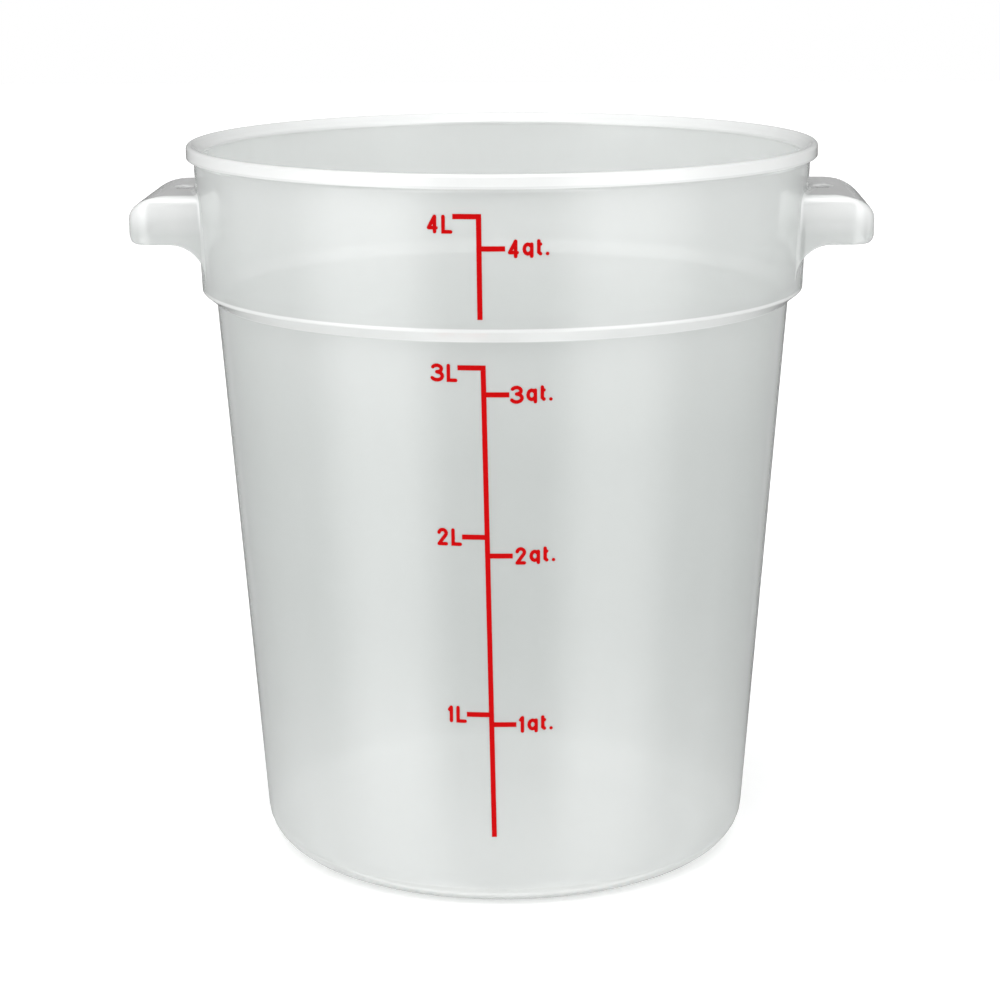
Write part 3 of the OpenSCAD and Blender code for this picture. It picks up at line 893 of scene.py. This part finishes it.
@dataclass(frozen=True)
class RedInk:
    """Screen-printed red ink with a slightly uneven film."""

    bright: Colour = (0.54, 0.0, 0.001)
    dark: Colour = (0.47, 0.0, 0.0008)
    roughness: float = 0.50
    gloss: float = 0.06

    def build(self) -> bpy.types.Material:
        """Makes the material: an even film with slight mottling and a fine grain.

        Returns:
            The material.
        """
        shader = Shader("red_ink")
        mottle = shader.noise(420.0, 3.0)
        grain = shader.noise(2600.0, 1.0)
        body = shader.node(
            "ShaderNodeBsdfPrincipled",
            Base_Color=shader.blend(mottle, self.dark, self.bright),
            Roughness=mottle * 0.2 + (self.roughness - 0.1),
            Specular_IOR_Level=self.gloss,
            Normal=shader.bump(grain, 0.00002, 0.3),
        )
        return shader.finish(body.outputs[0])


@dataclass(frozen=True)
class StudioWhite:
    """The pale floor, which glows a little, as a lit table does."""

    tone: Colour = (0.92, 0.92, 0.92)
    glow: float = 0.24

    def build(self) -> bpy.types.Material:
        """Makes a matt, nearly white material with the faintest cloud.

        Returns:
            The material.
        """
        shader = Shader("studio_white")
        body = shader.node(
            "ShaderNodeBsdfPrincipled",
            Base_Color=shader.blend(shader.noise(1.5, 1.0), self.tone, (0.94, 0.94, 0.94)),
            Roughness=0.9,
            Emission_Color=(1.0, 1.0, 1.0, 1.0),
            Emission_Strength=self.glow,
        )
        return shader.finish(body.outputs[0])


@dataclass
class Scale:
    """The printed scale: two lines with marks, and eight labels."""

    nodes: tuple[str, ...] = (
        "scale_line_upper", "scale_line_lower",
        "label_1_litre", "label_2_litre", "label_3_litre", "label_4_litre",
        "label_1_quart", "label_2_quart", "label_3_quart", "label_4_quart",
    )

    def dress(self) -> None:
        """Gives every print the red ink."""
        ink = RedInk().build()
        for name in self.nodes:
            wear(name, ink)
            LOG.info("%s is red ink", name)


@dataclass
class Moulding:
    """The one moulded piece: the vessel with its two handles."""

    node: str = "container"
    slot: str = "polypropylene"
    sharp: float = math.radians(35.0)

    def build(self) -> bpy.types.Object:
        """Joins vessel and handles into one solid surface and dresses it.

        Returns:
            The moulding, which stands for the CAD node.
        """
        vessel = Vessel()
        handle = Handle(vessel)
        body = self._placed(vessel.skin(), "vessel")
        grips = [self._placed(skin, "grip") for skin in (handle.skin(), handle.skin().turned_half())]
        for grip in grips:
            join = body.modifiers.new("join", "BOOLEAN")
            join.operation, join.solver, join.object = "UNION", "EXACT", grip
        whole = body.evaluated_get(bpy.context.evaluated_depsgraph_get())
        mesh = bpy.data.meshes.new_from_object(whole)
        mesh.shade_smooth()
        mesh.set_sharp_from_angle(angle=self.sharp)
        mesh.materials.clear()
        mesh.materials.append(MilkyPlastic().build(vessel, handle))
        for helper in (body, *grips):
            bpy.data.objects.remove(helper)
        piece = bpy.data.objects.new("moulding", mesh)
        bpy.context.collection.objects.link(piece)
        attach(piece, "root")
        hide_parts(self.node)
        LOG.info("moulding: %d faces", len(mesh.polygons))
        return piece

    def _placed(self, skin: Skin, name: str) -> bpy.types.Object:
        """Makes a surface an object in the scene."""
        made = skin.shape(name)
        bpy.context.collection.objects.link(made)
        return made


def wear(node: str, material: bpy.types.Material) -> None:
    """Puts a material in every slot of a CAD node.

    Args:
        node: The node's name.
        material: The material.
    """
    for slot in frame["nodes"][node].material_slots:
        slot.material = material


@dataclass
class Studio:
    """Floor, surroundings and camera."""

    floor_size: float = 6.0
    lens: float = 96.617
    camera_reach: float = 0.80404
    camera_height: float = 0.29435
    camera_turn: float = 0.03142
    camera_dip: float = 13.243
    camera_yaw: float = 0.00136
    camera_roll: float = -0.00533
    gap: float = 0.18
    box: float = 1.9
    side: float = 0.55
    rear: float = 0.38
    dark: float = 0.10
    overhead: float = 0.90
    top_box: float = 2.0
    lean: float = -0.10
    gap_edge: tuple[float, float] = (16.0, 42.0)
    box_edge: tuple[float, float] = (56.0, 88.0)
    side_edge: tuple[float, float] = (100.0, 130.0)
    dark_edge: tuple[float, float] = (150.0, 168.0)
    dark_top: tuple[float, float] = (2.0, -6.0)
    high_edge: tuple[float, float] = (40.0, 66.0)
    top_box_way: tuple[float, float] = (-0.42, 0.908)
    top_box_edge: tuple[float, float] = (0.86, 0.95)

    def build(self) -> None:
        """Makes the studio."""
        self._floor()
        self._world()
        self._camera()
        bpy.context.scene.view_settings.view_transform = "Standard"

    def _floor(self) -> None:
        """A plain pale floor under the tub. Reflections look past it, as if it were a small table."""
        half = self.floor_size / 2
        mesh = bpy.data.meshes.new("floor")
        corners = [(-half, -half, 0), (half, -half, 0), (half, half, 0), (-half, half, 0)]
        mesh.from_pydata(corners, [], [(0, 1, 2, 3)])
        floor = bpy.data.objects.new("floor", mesh)
        bpy.context.collection.objects.link(floor)
        mesh.materials.append(StudioWhite().build())
        floor.visible_glossy = False

    def _world(self) -> None:
        """White backdrop, and round it the soft boxes and dark cards that light the tub.

        A ray that looks straight at the backdrop meets plain white. For light and reflections
        the brightness goes by the angle round the tub, from behind the camera: a dark gap, a
        broad soft box on either side, a dimmer side and the backdrop, with a dark card low down
        behind the tub. Higher up it eases into an even overhead light, and one more soft box
        hangs above the front.
        """
        world = bpy.data.worlds.new("surroundings")
        world.use_nodes = True
        tree = world.node_tree
        tree.nodes.clear()
        split = tree.nodes.new("ShaderNodeSeparateXYZ")
        tree.links.new(tree.nodes.new("ShaderNodeTexCoord").outputs["Generated"], split.inputs[0])
        x, y, z = (Value(tree, socket) for socket in split.outputs)
        round_tub = abs(x.angle(-y)) * math.degrees(1.0)
        height = z.angle((x * x + y * y).root()) * math.degrees(1.0)
        around = round_tub.step(*self.gap_edge)
        light = around * (self.box - self.gap) + self.gap
        light = light.towards(self.side, round_tub.step(*self.box_edge))
        light = light.towards(self.rear, round_tub.step(*self.side_edge))
        light = light.towards(self.dark, round_tub.step(*self.dark_edge) * height.step(*self.dark_top))
        light = light.towards(self.overhead, height.step(*self.high_edge))
        above = y * self.top_box_way[0] + z * self.top_box_way[1]
        light = light + above.step(*self.top_box_edge) * self.top_box
        straight = Value(tree, tree.nodes.new("ShaderNodeLightPath").outputs["Is Camera Ray"])
        strength = (light * (x * self.lean + 1.0)).towards(1.0, straight)
        back = tree.nodes.new("ShaderNodeBackground")
        back.inputs["Color"].default_value = (1.0, 1.0, 1.0, 1.0)
        tree.links.new(strength.socket, back.inputs["Strength"])
        out = tree.nodes.new("ShaderNodeOutputWorld")
        tree.links.new(back.outputs[0], out.inputs["Surface"])
        bpy.context.scene.world = world

    def _camera(self) -> None:
        """The photograph's camera."""
        lens = bpy.data.cameras.new("camera")
        lens.lens = self.lens
        lens.sensor_width = 36.0
        camera = bpy.data.objects.new("camera", lens)
        camera.matrix_world = (
            Matrix.Rotation(self.camera_turn, 4, "Z")
            @ Matrix.Translation((0.0, -self.camera_reach, self.camera_height))
            @ Matrix.Rotation(self.camera_yaw, 4, "Z")
            @ Matrix.Rotation(math.radians(90.0 - self.camera_dip), 4, "X")
            @ Matrix.Rotation(self.camera_roll, 4, "Z")
        )
        bpy.context.collection.objects.link(camera)
        bpy.context.scene.camera = camera


def main() -> None:
    """Builds the dressed tub and its studio."""
    logging.basicConfig(level=logging.INFO)
    Moulding().build()
    Scale().dress()
    Studio().build()


if __name__ == "__main__":
    main()
